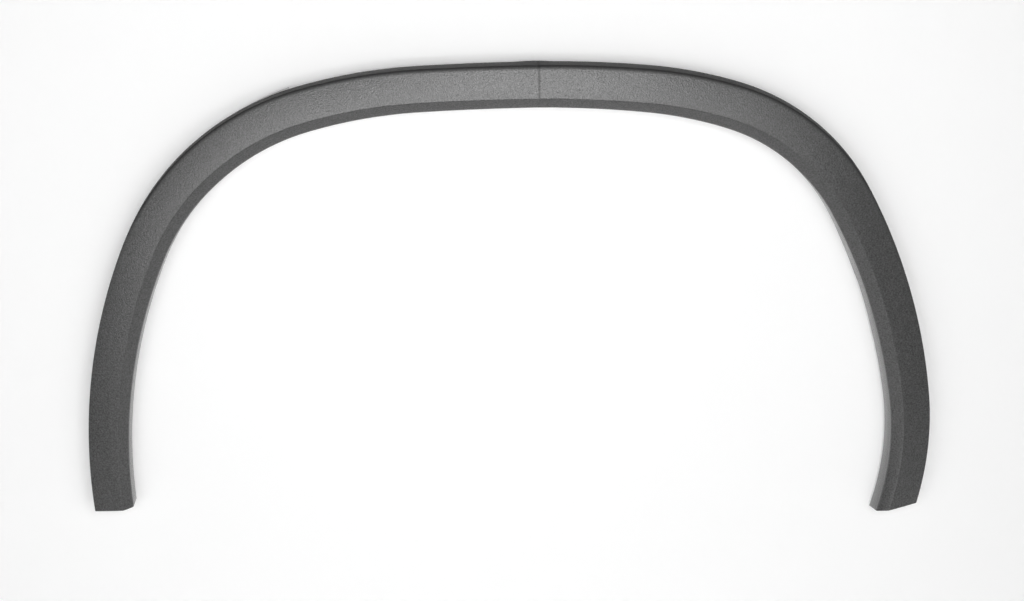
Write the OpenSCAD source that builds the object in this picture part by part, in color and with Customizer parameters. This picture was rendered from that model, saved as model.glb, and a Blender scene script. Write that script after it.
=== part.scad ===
// Wheel arch moulding: one moulded C-section that frames a wheel opening, with its clips and edge tape.
// X runs along the car, towards the leg with the tighter curl, Y goes into the body and Z is up.
// The origin is on the crown locating pin, in the plane of the body panel. All sizes are millimetres.

/* [Arch outline] */
// Width of the whole outline, which all its radii follow
arch_width = 905; // [820:5:1040]
// Height of the outer edge above the datum at the crown
crown_rise = 17.5; // [14:0.5:24]
// Radius of the crown on the plain side
plain_crown_r = 2400; // [1800:50:3000]
// Angle turned by the plain side of the crown
plain_crown_turn = 3.0; // [2:0.1:4]
// Radius of the haunch on the plain side
plain_haunch_r = 540; // [480:5:600]
// Angle turned by the plain haunch
plain_haunch_turn = 13.3; // [11:0.1:16]
// Radius of the shoulder on the plain side
plain_shoulder_r = 278; // [240:2:320]
// Angle turned by the plain shoulder
plain_shoulder_turn = 51.3; // [46:0.1:55]
// Radius of the leg on the plain side
plain_leg_r = 595; // [520:5:700]
// Angle turned by the plain leg
plain_leg_turn = 28.7; // [24:0.1:32]
// Radius of the crown on the curled side
curl_crown_r = 1130; // [900:10:1400]
// Angle turned by the curled side of the crown
curl_crown_turn = 5.9; // [4:0.1:8]
// Radius of the haunch on the curled side
curl_haunch_r = 465; // [400:5:540]
// Angle turned by the curled haunch
curl_haunch_turn = 11.9; // [9:0.1:14]
// Radius of the shoulder on the curled side
curl_shoulder_r = 247; // [220:1:280]
// Angle turned by the curled shoulder
curl_shoulder_turn = 43.7; // [40:0.1:48]
// Radius of the leg on the curled side
curl_leg_r = 630; // [560:5:720]
// Angle turned by the curled leg
curl_leg_turn = 21.2; // [18:0.1:24]
// Radius of the foot that curls in
curl_foot_r = 320; // [280:5:380]
// Angle turned by the foot that curls in
curl_foot_turn = 24.3; // [18:0.1:28]
// Radius of the body side in plan
body_plan_r = 3600; // [2600:100:6000]

/* [Section] */
// Wall thickness of the moulding
wall = 2.6; // [2:0.1:3.2]
// Depth of the outer wall, from the face to the panel
outer_depth = 20; // [16:0.5:26]
// Distance from the outline to the outer wall's front edge
outer_lip = 2.9; // [2:0.1:4]
// How far the crease stands in front of the outer edge
crease_rise = 6; // [3:0.5:9]
// How far the chamfer falls back behind the outer edge
chamfer_fall = 4; // [2:0.5:7]
// Depth of the inner return, from the outer edge's plane
return_depth = 31; // [27:0.5:36]
// Crown of the main face between its edges
face_bulge = 0.5; // [0:0.1:1.5]
// Rounding of the outer edge
corner_round = 3.2; // [1.5:0.1:4]
// Rounding of the crease
crease_round = 2.2; // [1:0.1:4]
// Rounding where the chamfer meets the return
inner_round = 2.4; // [1:0.1:4]
// Height of the small swelling on the crown's outer edge
crown_swell = 1.0; // [0:0.1:2]
// Half of the length of that swelling
crown_swell_half = 18; // [10:1:30]
// Depth at which the outer wall's and the main face's lines meet
corner_depth = 0.5; // [0:0.1:1.5]
// Slant of the foot that curls in, per millimetre of depth
curl_foot_slant = 0.12; // [0:0.01:0.25]
// Length over which that foot's slant grows
foot_slant_length = 70; // [50:5:110]

/* [Face widths] */
// Main face at the crown
main_crown = 31.0; // [27:0.5:36]
// Main face at the plain shoulder
main_plain_shoulder = 30.4; // [27:0.2:36]
// Main face at the plain leg
main_plain_leg = 28.8; // [25:0.2:34]
// Main face at the plain foot
main_plain_foot = 28.0; // [24:0.2:34]
// Main face at the curled shoulder
main_curl_shoulder = 32.6; // [28:0.2:37]
// Main face at the curled leg
main_curl_leg = 29.4; // [25:0.2:34]
// Main face at the curled foot
main_curl_foot = 27.0; // [23:0.2:33]
// Chamfer at the crown
chamfer_crown = 10.7; // [8:0.1:14]
// Chamfer at the plain shoulder
chamfer_plain_shoulder = 12.8; // [8:0.1:16]
// Chamfer at the plain leg
chamfer_plain_leg = 12.5; // [8:0.1:16]
// Chamfer at the plain foot
chamfer_plain_foot = 10.5; // [7:0.1:14]
// Chamfer at the curled shoulder
chamfer_curl_shoulder = 12.5; // [8:0.1:16]
// Chamfer at the curled leg
chamfer_curl_leg = 12.8; // [8:0.1:16]
// Chamfer at the curled foot
chamfer_curl_foot = 10.4; // [7:0.1:14]

/* [Lean of the outer wall] */
// How far it leans outwards over its depth at the crown
lean_crown = 1.1; // [-1:0.1:3]
// Lean at the plain shoulder
lean_plain_shoulder = -0.2; // [-1:0.1:3]
// Lean at the plain leg
lean_plain_leg = -0.8; // [-1:0.1:3]
// Lean at the plain foot
lean_plain_foot = 0.4; // [-1:0.1:3]
// Lean at the curled shoulder
lean_curl_shoulder = 1.9; // [-1:0.1:3]
// Lean at the curled leg
lean_curl_leg = 1.4; // [-1:0.1:3]
// Lean at the curled foot
lean_curl_foot = 0.6; // [-1:0.1:3]

/* [Lean of the inner return] */
// How far it leans towards the wheel over its depth at the crown
return_lean_crown = 2.0; // [0.2:0.1:4]
// Lean at the plain shoulder
return_lean_plain_shoulder = 3.0; // [0.2:0.1:4]
// Lean at the plain leg
return_lean_plain_leg = 2.7; // [0.2:0.1:4]
// Lean at the plain foot
return_lean_plain_foot = 1.3; // [0.2:0.1:4]
// Lean at the curled shoulder
return_lean_curl_shoulder = 0.6; // [0.2:0.1:4]
// Lean at the curled leg
return_lean_curl_leg = 2.5; // [0.2:0.1:4]
// Lean at the curled foot
return_lean_curl_foot = 1.0; // [0.2:0.1:4]

/* [Screw ears] */
// How far an ear stands behind the inner return
ear_height = 6; // [4:0.5:9]
// Length of an ear along its top
ear_length = 44; // [34:1:56]
// Length of the slope at each end of an ear
ear_slope = 16; // [13:1:22]
// Radius of a screw hole
screw_hole_r = 2.75; // [2:0.05:3.5]
// Radius of the pad round a screw hole
screw_pad_r = 6.5; // [5.5:0.1:8]
// Height of the pad above the wall
screw_pad_height = 1.6; // [1:0.1:2.5]
// Distance from the ear's back edge to the hole's centre
screw_hole_inset = 8.5; // [7.5:0.1:10]
// Width of the notch beside the last ear
notch_width = 3; // [2:0.5:5]
// Depth of that notch
notch_depth = 5; // [3:0.5:7]

/* [Clip towers] */
// Size of a tower along the arch
tower_length = 25; // [22:0.5:30]
// Size of a tower across the arch
tower_width = 20; // [18:0.5:22]
// Wall thickness of a tower
tower_wall = 2; // [1.6:0.1:2.4]
// Thickness of a tower's seat plate
seat_thickness = 2.2; // [1.8:0.1:3]
// Gap between a tower's seat plate and the body panel
seat_gap = 3.2; // [2.6:0.1:4]
// Distance from the outline to the line of towers
tower_line = 16; // [15:0.5:17.5]

/* [Clips] */
// Radius of a clip's neck
clip_neck_r = 3.4; // [3:0.1:4]
// Play between a clip and its seat
clip_play = 0.25; // [0.15:0.05:0.4]
// Radius of a clip's head inside the tower
clip_head_r = 6.8; // [6:0.1:7.2]
// Thickness of a clip's head
clip_head_t = 1.8; // [1.4:0.1:2.4]
// Radius of a clip's sealing skirt
clip_skirt_r = 8.5; // [7:0.1:9.5]
// Radius of a clip's barbed shank at its widest
clip_barb_r = 4.6; // [4.2:0.1:5.2]
// Length of a clip's shank behind the panel
clip_shank = 14; // [11:0.5:18]

/* [Locating pins] */
// Radius of a locating pin
pin_r = 3; // [2.5:0.1:4]
// Length of a pin behind the panel
pin_length = 9; // [7:0.5:12]
// Radius of the post that carries a pin
pin_post_r = 6; // [5:0.1:8]

/* [Ribs] */
// Thickness of a cross rib
rib_thickness = 1.6; // [1.2:0.1:2.2]
// Distance between cross ribs, about which they share out each gap evenly
rib_pitch = 48; // [36:1:60]
// Depth of a cross rib below the panel plane where it is lowest
rib_drop = 9; // [7:0.5:12]
// Width of a rib's toe, from the tape's edge to where it steps down
rib_toe = 4; // [3:0.5:6]
// Width of a rib's heel on the return
rib_heel = 6; // [4:0.5:8]
// Share of the return's depth that a rib reaches up
rib_heel_share = 0.45; // [0.3:0.05:0.6]

/* [Edge tape] */
// Thickness of the foam tape
tape_thickness = 1; // [0.8:0.1:1.6]
// Width of the foam tape
tape_width = 5; // [4:0.5:7]
// How far a tape's loose end drifts outwards
tape_drift = 2.0; // [0:0.1:3]
// Length over which it drifts
tape_drift_length = 70; // [40:5:110]
// Distance from the outer wall's rim to the tape's edge
tape_inset = 0.3; // [0.2:0.1:1]
// Distance from a foot's end to the tape
tape_end_inset = 14; // [8:1:24]
// Gap between two strips of tape
tape_gap = 16; // [8:1:24]

/* [Hidden] */
$fn = 48;

drawn_width = 905;
plain_r = arch_width / drawn_width * [plain_crown_r, plain_haunch_r, plain_shoulder_r, plain_leg_r];
plain_turn = [plain_crown_turn, plain_haunch_turn, plain_shoulder_turn, plain_leg_turn];
curl_r = arch_width / drawn_width * [curl_crown_r, curl_haunch_r, curl_shoulder_r, curl_leg_r, curl_foot_r];
curl_turn = [curl_crown_turn, curl_haunch_turn, curl_shoulder_turn, curl_leg_turn, curl_foot_turn];

// Length of a chain of arcs
function chain_length(r, turn, i = 0) =
    i == len(r) ? 0 : r[i] * turn[i] * PI / 180 + chain_length(r, turn, i + 1);
plain_length = chain_length(plain_r, plain_turn);
curl_length = chain_length(curl_r, curl_turn);

// Places along the arch are given as shares of a side's length, below 0 on the plain side
function at_share(share) = share * (share < 0 ? plain_length : curl_length);

// Point and heading after a length s along a chain of arcs: [along, up, turned]
function walk(r, turn, s, i = 0, x = 0, z = crown_rise, h = 0) =
    let (arc = r[i] * turn[i] * PI / 180)
    (s <= arc || i == len(r) - 1)
        ? let (t = s / r[i] * 180 / PI)
          [x + r[i] * (sin(h + t) - sin(h)), z - r[i] * (cos(h) - cos(h + t)), h + t]
        : let (t = turn[i])
          walk(r, turn, s - arc, i + 1,
               x + r[i] * (sin(h + t) - sin(h)), z - r[i] * (cos(h) - cos(h + t)), h + t);

// The outline, s from minus plain_length at the plain foot to curl_length at the curled one
function outline(s) =
    s >= 0 ? walk(curl_r, curl_turn, s)
           : let (p = walk(plain_r, plain_turn, -s)) [-p[0], p[1], -p[2]];

// How far the body side falls back at a distance along the car
function body_fall(x) = x * x / (2 * body_plan_r);
panel_plane = outer_depth + tape_thickness;

// Place of a section point: u outwards from the outline, v into the body from the outer edge
function place(s, u, v, slant = 0) =
    let (p = outline(s), x = p[0] + u * sin(p[2]), z = p[1] + u * cos(p[2]), run = slant * v)
    [x + run * cos(p[2]), v - panel_plane + body_fall(x), z - run * sin(p[2])];

// Sizes that change along the arch are given at seven stages
stages = [for (share = [-1, -0.702, -0.47, 0, 0.435, 0.727, 1]) at_share(share)];
function along(s, sizes) = lookup(s, [for (i = [0:6]) [stages[i], sizes[i]]]);
function main_width(s) =
    along(s, [main_plain_foot, main_plain_leg, main_plain_shoulder, main_crown,
              main_curl_shoulder, main_curl_leg, main_curl_foot]);
function chamfer_width(s) =
    along(s, [chamfer_plain_foot, chamfer_plain_leg, chamfer_plain_shoulder, chamfer_crown,
              chamfer_curl_shoulder, chamfer_curl_leg, chamfer_curl_foot]);
function return_lean(s) =
    along(s, [return_lean_plain_foot, return_lean_plain_leg, return_lean_plain_shoulder, return_lean_crown,
              return_lean_curl_shoulder, return_lean_curl_leg, return_lean_curl_foot]);
// Distance from the outline to the outer wall's rim
function rim_at(s) =
    outer_lip + along(s, [lean_plain_foot, lean_plain_leg, lean_plain_shoulder, lean_crown,
                          lean_curl_shoulder, lean_curl_leg, lean_curl_foot]);

// Screw ears along the return, and how far the return reaches back at each place
ear_places = [for (share = [-0.432, -0.15, 0.13, 0.37, 0.595]) at_share(share)];
function ear_share(s, i = 0) =
    i == len(ear_places) ? 0
    : max(ear_share(s, i + 1),
          min(1, max(0, (ear_length / 2 + ear_slope - abs(s - ear_places[i])) / ear_slope)));
function return_reach(s) = return_depth + ear_height * ear_share(s);
function swell(s) = crown_swell * max(0, 1 - pow(s / crown_swell_half, 2));

// Sharp corners of the outer skin, from the outer wall's rim to the return's rim
function skeleton(s) =
    let (m = main_width(s), c = chamfer_width(s))
    [[rim_at(s) + swell(s), outer_depth], [outer_lip, corner_depth], [-m, -crease_rise],
     [-m - c, chamfer_fall], [-m - c - return_lean(s), return_reach(s)]];

function unit(a) = a / norm(a);
// Points of a rounded corner at q between p and r
function rounded(p, q, r, size, steps) =
    let (a = q + unit(p - q) * size, b = q + unit(r - q) * size)
    [for (i = [0:steps]) let (t = i / steps) (1 - t) * (1 - t) * a + 2 * t * (1 - t) * q + t * t * b];
// A point between p and q that stands proud of their line by size
function proud(p, q, t, size) =
    let (d = unit(q - p)) p + (q - p) * t + [d[1], -d[0]] * size * (-4 * t * (1 - t));

function outer_skin(s) =
    let (k = skeleton(s))
    concat([k[0]],
           rounded(k[0], k[1], k[2], corner_round, 4),
           [proud(k[1], k[2], 0.35, face_bulge), proud(k[1], k[2], 0.7, face_bulge)],
           rounded(k[1], k[2], k[3], crease_round, 2),
           [proud(k[2], k[3], 0.5, face_bulge / 2)],
           rounded(k[2], k[3], k[4], inner_round, 2),
           [k[4]]);

// Line through p and q moved inwards by d, as [point, direction]
function moved(p, q, d) = let (e = unit(q - p)) [p + [e[1], -e[0]] * d, e];
function meet(a, b) =
    let (w = b[0] - a[0], det = a[1][0] * b[1][1] - a[1][1] * b[1][0])
    a[0] + a[1] * ((w[0] * b[1][1] - w[1] * b[1][0]) / det);
// The skin's sharp corners moved inwards by d, ending level with the rims
function inner_skin(s, d) =
    let (k = skeleton(s), l = [for (i = [0:3]) moved(k[i], k[i + 1], d)])
    [meet(l[0], [k[0], [1, 0]]), meet(l[0], l[1]), meet(l[1], l[2]), meet(l[2], l[3]),
     meet(l[3], [k[4], [1, 0]])];

// Stations of the sweep: a closed wall at each foot, then even steps
station_step = 10;
ramp = 1;
middle_from = -plain_length + wall + ramp;
middle_to = curl_length - wall - ramp;
middle_count = ceil((middle_to - middle_from) / station_step);
middle_step = (middle_to - middle_from) / middle_count;
stations = concat([[-plain_length, 0], [-plain_length + wall, 0]],
                  [for (i = [0:middle_count]) [middle_from + middle_step * i, 1]],
                  [[curl_length - wall, 0], [curl_length, 0]]);

// A ring of the sweep: the outer skin and then the cavity, which is shut where open is 0
function ring(s, open) =
    let (skin = outer_skin(s), k = skeleton(s), cave = inner_skin(s, wall),
         shut = [for (i = [0:4]) k[0] + (k[4] - k[0]) * (i + 1) / 6])
    concat(skin, [for (i = [4:-1:0]) open == 1 ? cave[i] : shut[i]]);
function foot_slant(s) = curl_foot_slant * pow(max(0, (s - curl_length) / foot_slant_length + 1), 2);

// A solid through rings of points, each ring seen anticlockwise from the start of the sweep
module sweep(rings) {
    n = len(rings[0]);
    m = len(rings);
    sides = [for (j = [0:m - 2], i = [0:n - 1]) each
             [[j * n + i, (j + 1) * n + (i + 1) % n, j * n + (i + 1) % n],
              [j * n + i, (j + 1) * n + i, (j + 1) * n + (i + 1) % n]]];
    caps = [[for (i = [0:n - 1]) i], [for (i = [n - 1:-1:0]) (m - 1) * n + i]];
    polyhedron(points = [for (r = rings) each r], faces = concat(sides, caps), convexity = 10);
}

module swept_shell() {
    sweep([for (st = stations) [for (p = ring(st[0], st[1])) place(st[0], p[0], p[1], foot_slant(st[0]))]]);
}

// Frame on the outline: X along the arch, Y into the body, Z outwards
module on_arch(s) {
    p = outline(s);
    translate([p[0], 0, p[1]]) rotate([0, p[2], 0]) children();
}

// Depth in the part's frame of a section point
function depth_at(s, u, v) = place(s, u, v)[1];
function section_point(s, p) = [depth_at(s, p[0], p[1]), p[0]];

// A plate across the channel, from [depth, outwards] points in the frame on the outline
module cross_plate(s, points, thickness) {
    on_arch(s) rotate([90, 0, 90]) translate([0, 0, -thickness / 2])
        linear_extrude(thickness) polygon(points);
}

// Point half way through the wall behind the main face, at a distance u across it
function half_wall(s, u) =
    let (k = inner_skin(s, wall / 2))
    section_point(s, [u, lookup(u, [[k[2][0], k[2][1]], [k[1][0], k[1][1]]])]);

// What stands in the channel, in order from the plain foot, as [start, end] along the arch
clip_places = [for (share = [-0.921, -0.739, -0.558, -0.291, -0.075, 0.068, 0.257, 0.483, 0.708, 0.909])
               at_share(share)];
pin_places = [[0, crown_rise], [at_share(0.535), tower_line]];
function tower_stop(i) = [clip_places[i] - tower_length / 2, clip_places[i] + tower_length / 2];
function pin_stop(i) = [pin_places[i][0] - pin_post_r, pin_places[i][0] + pin_post_r];
stops = concat([[-plain_length, -plain_length + wall]], [for (i = [0:4]) tower_stop(i)], [pin_stop(0)],
               [for (i = [5:7]) tower_stop(i)], [pin_stop(1)], [for (i = [8:9]) tower_stop(i)],
               [[curl_length - wall, curl_length]]);

// Cross ribs share out the gaps evenly. They run to the outer wall's rim and step down towards the return.
rib_relief = 0.4;
rib_places = [for (i = [0:len(stops) - 2])
              let (from = stops[i][1], to = stops[i + 1][0], cells = max(1, round((to - from) / rib_pitch)))
              each [for (j = [1:1:cells - 1]) from + (to - from) * j / cells]];
module cross_rib(s) {
    k = inner_skin(s, wall / 2);
    top = outer_depth - rib_relief;
    low = outer_depth - rib_drop;
    toe = rim_at(s) - tape_width;
    corners = [[k[0][0], top], k[1], k[2], k[3], k[3] + (k[4] - k[3]) * rib_heel_share,
               [k[3][0] + rib_heel, low], [toe - rib_toe, low], [toe, top]];
    cross_plate(s, [for (p = corners) section_point(s, p)], rib_thickness);
}

// Clip towers: side walls, an end wall and a seat plate with a keyhole that opens along the arch
seat_back = panel_plane - seat_gap;
slot_width = 1.7 * clip_neck_r;
past = 1;
module clip_tower(s) {
    seat_y = depth_at(s, -tower_line, seat_back);
    low = -tower_line - tower_width / 2;
    high = -tower_line + tower_width / 2;
    block = [half_wall(s, high), half_wall(s, low), [seat_y, low], [seat_y, high]];
    hollow_from = [tower_wall - tower_length / 2, seat_y - seat_thickness - outer_depth, low + tower_wall];
    difference() {
        cross_plate(s, block, tower_length);
        on_arch(s) translate(hollow_from) cube([tower_length, outer_depth, tower_width - 2 * tower_wall]);
        on_arch(s) translate([0, seat_y - seat_thickness - past, -tower_line]) {
            rotate([-90, 0, 0]) cylinder(r = clip_neck_r + clip_play, h = seat_thickness + 2 * past);
            translate([0, 0, -slot_width / 2]) cube([tower_length, seat_thickness + 2 * past, slot_width]);
        }
    }
}

// Locating pins on round posts
pin_tip_share = 0.55;
module locating_pin(s, line) {
    seat_y = depth_at(s, -line, seat_back);
    low = -line - pin_post_r - 1;
    high = -line + pin_post_r + 1;
    shank = 1 + seat_gap + pin_length - pin_r / 2;
    above = seat_y + pin_r;
    block = [half_wall(s, high), half_wall(s, low), [above, low], [above, high]];
    intersection() {
        cross_plate(s, block, 3 * pin_post_r);
        on_arch(s) translate([0, seat_y - 2 * outer_depth, -line]) rotate([-90, 0, 0])
            cylinder(r = pin_post_r, h = 2 * outer_depth);
    }
    on_arch(s) translate([0, seat_y - 1, -line]) rotate([-90, 0, 0]) {
        cylinder(r = pin_r, h = shank);
        translate([0, 0, shank]) cylinder(r1 = pin_r, r2 = pin_r * pin_tip_share, h = pin_r / 2);
    }
}

// Screw pads inside the return at the ears, and their holes
function screw_depth(s) = return_reach(s) - screw_hole_inset;
function return_line(s, v) =
    let (k = skeleton(s), share = (v - k[3][1]) / (k[4][1] - k[3][1])) k[3] + (k[4] - k[3]) * share;
module screw_axis(s, from, to, r) {
    v = screw_depth(s);
    u = return_line(s, v)[0];
    on_arch(s) translate([0, depth_at(s, u, v), u + from]) cylinder(r = r, h = to - from);
}

// Notch in the return's edge beside the last ear
module return_notch() {
    s = ear_places[4] + ear_length / 2 + ear_slope + notch_width;
    k = skeleton(s)[4];
    on_arch(s) translate([-notch_width / 2, depth_at(s, k[0], k[1]) - notch_depth, k[0] - 2 * wall])
        cube([notch_width, 2 * notch_depth, 4 * wall]);
}

module arch_moulding() {
    color([0.2, 0.2, 0.21]) difference() {
        union() {
            swept_shell();
            for (s = rib_places) cross_rib(s);
            for (s = clip_places) clip_tower(s);
            for (p = pin_places) locating_pin(p[0], p[1]);
            for (s = ear_places) screw_axis(s, wall / 2, wall + screw_pad_height, screw_pad_r);
        }
        for (s = ear_places) screw_axis(s, -wall, 2 * wall + screw_pad_height, screw_hole_r);
        return_notch();
    }
}

// A push-in clip: head under the seat plate, neck in the keyhole, sealing skirt and split barbed shank
clip_edge = 0.6;
skirt_rim = 0.7;
skirt_web = 0.7;
skirt_slope = 1.2;
barb_rise = 3;
barb_land = 1;
barb_pitch = 4;
second_barb_share = 0.85;
split_share = 0.45;
module retaining_clip(i) {
    s = clip_places[i];
    head_top = -seat_thickness;
    head_low = head_top - clip_head_t;
    tip = seat_gap + clip_shank;
    first = seat_gap + 1 + barb_rise;
    split = clip_neck_r * split_share;
    profile = [[0, head_low], [clip_head_r - clip_edge, head_low], [clip_head_r, head_low + clip_edge],
               [clip_head_r, head_top], [clip_neck_r, head_top], [clip_neck_r, clip_play],
               [clip_skirt_r - skirt_slope, clip_play + 0.5], [clip_skirt_r, seat_gap],
               [clip_skirt_r - skirt_rim, seat_gap],
               [clip_skirt_r - skirt_slope - skirt_rim, clip_play + skirt_web + 0.7],
               [clip_neck_r, clip_play + skirt_web + 0.5], [clip_neck_r, seat_gap + 1],
               [clip_barb_r, first], [clip_barb_r, first + barb_land],
               [clip_neck_r * 0.9, first + barb_pitch - 0.5],
               [clip_barb_r * second_barb_share, first + barb_pitch + 1],
               [clip_neck_r * 0.5, tip - clip_edge], [clip_neck_r * 0.35, tip], [0, tip]];
    seat_y = depth_at(s, -tower_line, seat_back);
    color([0.62, 0.62, 0.6])
    on_arch(s) translate([0, seat_y, -tower_line]) rotate([-90, 0, 0]) difference() {
        rotate_extrude() polygon(profile);
        for (turn = [0, 90]) rotate([0, 0, turn])
            translate([-split / 2, -2 * clip_barb_r, seat_gap + 0.5])
                cube([split, 4 * clip_barb_r, clip_shank - barb_rise - 0.5]);
    }
}

// Foam tape on the outer wall's rim, in three strips whose upper and front ends drift outwards
tape_join_plain = at_share(-0.321);
tape_join_curl = at_share(0.774);
tape_first = tape_end_inset - plain_length;
tape_second = tape_join_plain + tape_gap;
tape_third = tape_join_curl + tape_gap;
tape_last = curl_length - tape_end_inset;
module edge_tape(from, to, drift) {
    inner = [for (st = stations) if (st[0] > from + 2 && st[0] < to - 2) st[0]];
    rings = [for (s = concat([from], inner, [to]))
             let (out = rim_at(s) - tape_inset + drift * pow(max(0, (s - to) / tape_drift_length + 1), 1.5))
             [place(s, out, outer_depth), place(s, out - tape_width, outer_depth),
              place(s, out - tape_width, panel_plane), place(s, out, panel_plane)]];
    color([0.75, 0.75, 0.74]) sweep(rings);
}

arch_moulding();
retaining_clip(0);  // retaining_clip_1
retaining_clip(1);  // retaining_clip_2
retaining_clip(2);  // retaining_clip_3
retaining_clip(3);  // retaining_clip_4
retaining_clip(4);  // retaining_clip_5
retaining_clip(5);  // retaining_clip_6
retaining_clip(6);  // retaining_clip_7
retaining_clip(7);  // retaining_clip_8
retaining_clip(8);  // retaining_clip_9
retaining_clip(9);  // retaining_clip_10
edge_tape(tape_first, tape_join_plain, tape_drift);  // edge_tape_plain_side
edge_tape(tape_second, tape_join_curl, tape_drift / 2);  // edge_tape_crown
edge_tape(tape_third, tape_last, 0);  // edge_tape_curled_side
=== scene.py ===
import math

import bpy
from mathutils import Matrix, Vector


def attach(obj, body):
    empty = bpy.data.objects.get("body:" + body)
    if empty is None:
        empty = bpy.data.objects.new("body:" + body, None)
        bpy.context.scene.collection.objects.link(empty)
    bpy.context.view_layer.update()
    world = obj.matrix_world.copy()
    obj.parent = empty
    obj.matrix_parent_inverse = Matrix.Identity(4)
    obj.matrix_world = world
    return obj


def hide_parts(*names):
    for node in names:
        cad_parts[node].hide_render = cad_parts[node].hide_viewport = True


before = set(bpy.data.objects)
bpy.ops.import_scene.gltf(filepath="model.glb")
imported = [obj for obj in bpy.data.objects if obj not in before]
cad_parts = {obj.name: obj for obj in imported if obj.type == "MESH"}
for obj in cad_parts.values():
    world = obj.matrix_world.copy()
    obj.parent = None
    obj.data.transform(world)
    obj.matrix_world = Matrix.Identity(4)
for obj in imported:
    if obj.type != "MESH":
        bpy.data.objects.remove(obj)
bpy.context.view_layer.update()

MM = 0.001

# The outline of the moulding: arcs from the crown down to each foot, as radius and angle turned
PLAIN_ARCS = [(2400, 3.0), (540, 13.3), (278, 51.3), (595, 28.7)]
CURL_ARCS = [(1130, 5.9), (465, 11.9), (247, 43.7), (630, 21.2), (320, 24.3)]
CROWN_RISE = 17.5
BODY_PLAN_R = 3600

# The section, in millimetres. The curled foot's slant and cut are slopes.
WALL = 2.6
OUTER_DEPTH = 20
OUTER_LIP = 2.9
CREASE_RISE = 5.7
CHAMFER_FALL = 4
RETURN_DEPTH = 31
CORNER_DEPTH = 0.5
FACE_BULGE = 0.4
CROWN_SWELL = 0.7
SWELL_PLACE = -4
CROWN_SWELL_HALF = 18
CURL_FOOT_SLANT = 0.12
SLANT_LENGTH = 70
CURL_FOOT_CUT = 0.5
FOOT_CUT_LINE = 16
CORNER_ROUND = 0.8
CREASE_ROUND = 1.0
INNER_ROUND = 2.4
CAVE_ROUND = 1.5
RIM_ROUND = 0.6
FOOT_ROUND = 0.9
WITNESS_DEPTH = 0.12
WITNESS_HALF = 1.1
STATION_STEP = 4
WITNESS_REACH = 4
WITNESS_STEP = 0.5

# Ears, towers, clips, pins, ribs and tape on the hidden side
EAR_HEIGHT = 6
EAR_LENGTH = 44
EAR_SLOPE = 16
SCREW_HOLE_R = 2.75
SCREW_PAD_R = 6.5
SCREW_PAD_HEIGHT = 1.6
SCREW_HOLE_INSET = 8.5
NOTCH_WIDTH = 3
NOTCH_DEPTH = 5
NOTCH_INSIDE = 4
NOTCH_OUTSIDE = 6
TOWER_LENGTH = 25
TOWER_WIDTH = 20
TOWER_WALL = 2
SEAT_THICKNESS = 2.2
SEAT_GAP = 3.2
SLOT_SHARE = 0.85
KEYHOLE_STEPS = 24
CUT_OVER = 1
TOWER_LINE = 16
NECK_R = 3.4
PLAY = 0.25
HEAD_R = 6.8
HEAD_T = 1.8
SKIRT_R = 8.5
BARB_R = 4.6
SHANK = 14
HEAD_CHAMFER = 0.6
SPLIT_SHARE = 0.45
PIN_R = 3
PIN_TIP_SHARE = 0.55
PIN_LENGTH = 9
PIN_POST_R = 6
RIB_THICKNESS = 1.6
RIB_PITCH = 48
RIB_DROP = 9
RIB_RELIEF = 0.4
RIB_TOE = 4
RIB_HEEL = 6
RIB_HEEL_SHARE = 0.45
TAPE_THICKNESS = 1
TAPE_WIDTH = 5
TAPE_INSET = 0.3
TAPE_DRIFT = 2.0
TAPE_DRIFT_LENGTH = 70
TAPE_GAP = 16
TAPE_END = 14
TAPE_STEP = 5
TAPE_ROUND = 0.2
MOULDED_BEVEL = 0.25
CLIP_BEVEL = 0.12
BEVEL_ANGLE = 35

PANEL_PLANE = OUTER_DEPTH + TAPE_THICKNESS
SEAT_BACK = PANEL_PLANE - SEAT_GAP


def chain_length(arcs):
    return sum(radius * math.radians(turn) for radius, turn in arcs)


PLAIN_LENGTH = chain_length(PLAIN_ARCS)
CURL_LENGTH = chain_length(CURL_ARCS)


def at_share(share):
    """Place along the arch from a share of a side's length, below 0 on the plain side."""
    return share * (PLAIN_LENGTH if share < 0 else CURL_LENGTH)


STAGES = [at_share(share) for share in (-1, -0.702, -0.47, 0, 0.435, 0.727, 1)]
EAR_PLACES = [at_share(share) for share in (-0.432, -0.15, 0.13, 0.37, 0.595)]
CLIP_PLACES = [at_share(share) for share in
               (-0.921, -0.739, -0.558, -0.291, -0.075, 0.068, 0.257, 0.483, 0.708, 0.909)]
PIN_PLACES = [(0, CROWN_RISE), (at_share(0.535), TOWER_LINE)]
TAPE_JOIN_PLAIN = at_share(-0.321)
TAPE_JOIN_CURL = at_share(0.774)
MAIN_WIDTHS = [28.0, 28.8, 30.4, 31.0, 32.6, 29.4, 27.0]
CHAMFER_WIDTHS = [10.5, 12.5, 12.8, 10.7, 12.5, 12.8, 10.4]
OUTER_LEANS = [0.4, -0.8, -0.2, 1.1, 1.9, 1.4, 0.6]
RETURN_LEANS = [1.3, 2.7, 3.0, 2.0, 0.6, 2.5, 1.0]


def walk(arcs, length):
    """Distance along, distance down and angle turned after a length along a chain of arcs."""
    along = down = heading = 0.0
    for number, (radius, turn) in enumerate(arcs):
        arc = radius * math.radians(turn)
        part = length if number == len(arcs) - 1 else min(length, arc)
        turned = part / radius
        along += radius * (math.sin(heading + turned) - math.sin(heading))
        down += radius * (math.cos(heading) - math.cos(heading + turned))
        heading += turned
        length -= part
        if length <= 0:
            break
    return along, down, heading


def outline(s):
    """Across, height and angle turned of the arch's outer edge at s."""
    along, down, heading = walk(CURL_ARCS if s >= 0 else PLAIN_ARCS, abs(s))
    side = 1 if s >= 0 else -1
    return side * along, CROWN_RISE - down, side * heading


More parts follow.
